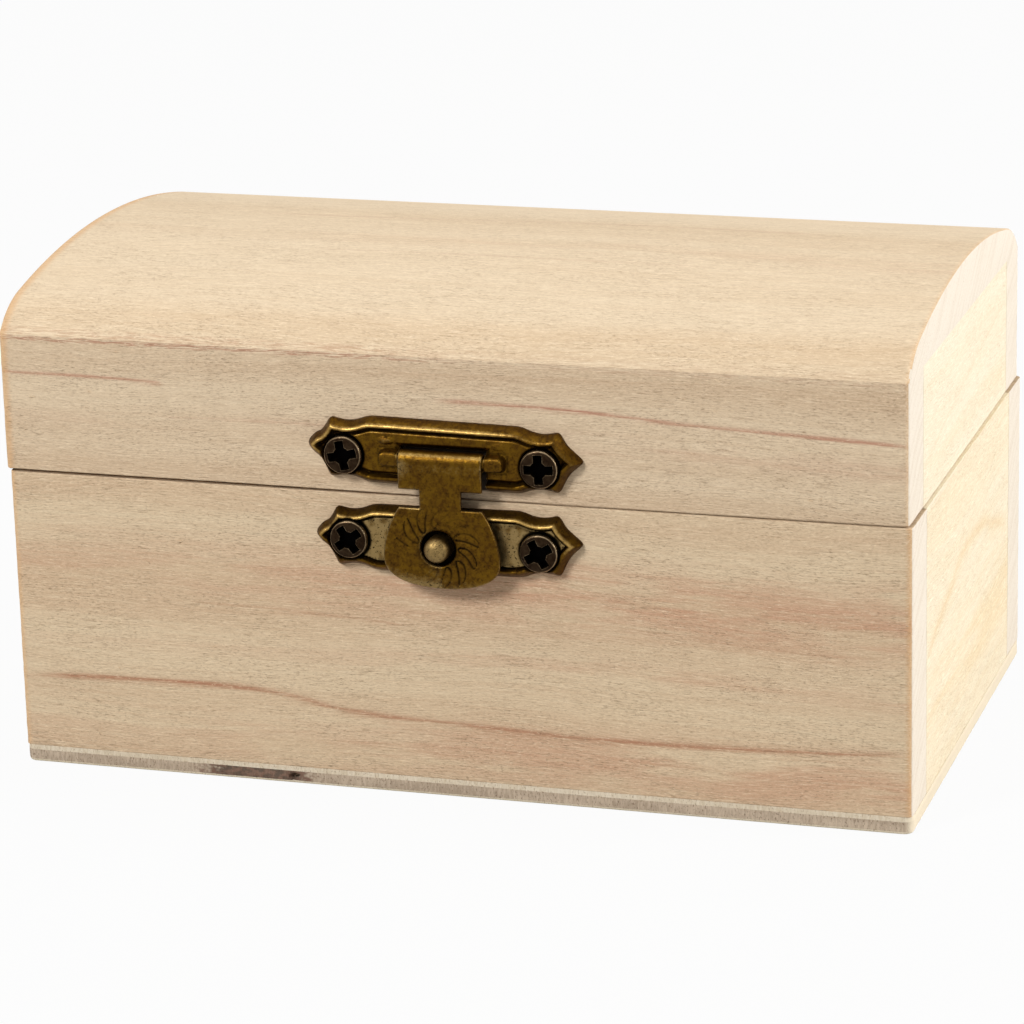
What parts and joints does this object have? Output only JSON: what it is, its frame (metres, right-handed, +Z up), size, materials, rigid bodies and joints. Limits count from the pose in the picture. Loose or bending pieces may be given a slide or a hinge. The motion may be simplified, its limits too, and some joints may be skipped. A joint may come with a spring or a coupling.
{
  "type": "treasure chest box",
  "caption": "Small raw-wood chest with an arched hinged lid and a stamped bronze hasp whose swinging tongue closes over a knob.",
  "frame": {"origin": "centre of the base's underside, on the surface that the box stands on", "axes": "+X along the length to the right seen from the front, -Y out of the front with the hasp, +Z up"},
  "size_m": [0.0904, 0.0603, 0.0495],
  "materials": {
    "wood_walls": "raw sanded, unfinished, grain along the length",
    "wood_board": "raw planed and sanded, unfinished",
    "ply_veneer": "raw pale veneer",
    "ply_core": "raw grey-brown cross ply",
    "bronze": "antique bronze, patina in the recesses, rubbed bright on the rims",
    "dark_bronze": "dark antique bronze"
  },
  "bodies": {
    "base": {"base_front_panel": "wood_walls", "base_back_panel": "wood_walls", "base_left_end": "wood_walls", "base_right_end": "wood_walls", "bottom_outer_veneer": "ply_veneer", "bottom_core": "ply_core", "bottom_inner_veneer": "ply_veneer", "clasp_lower_plate": "bronze", "clasp_knob": "bronze", "base_clasp_screws": "dark_bronze", "left_hinge_base_leaf": "bronze", "right_hinge_base_leaf": "bronze", "left_hinge_pin": "bronze", "right_hinge_pin": "bronze"},
    "lid": {"lid_front_panel": "wood_walls", "lid_back_panel": "wood_walls", "lid_left_end": "wood_walls", "lid_right_end": "wood_walls", "lid_top_board": "wood_board", "clasp_upper_plate": "bronze", "clasp_pin": "bronze", "lid_clasp_screws": "dark_bronze", "left_hinge_lid_leaf": "bronze", "right_hinge_lid_leaf": "bronze"},
    "tongue": {"clasp_tongue": "bronze"}
  },
  "joints": [
    {"name": "lid_hinge", "type": "hinge", "parent": "base", "child": "lid", "pos_m": [0, 0.02845, 0.0304], "axis": [-1, 0, 0], "range_deg": [0, 170]},
    {"name": "tongue_hinge", "type": "hinge", "parent": "lid", "child": "tongue", "pos_m": [0, -0.0283, 0.0344], "axis": [-1, 0, 0], "range_deg": [0, 150]}
  ]
}
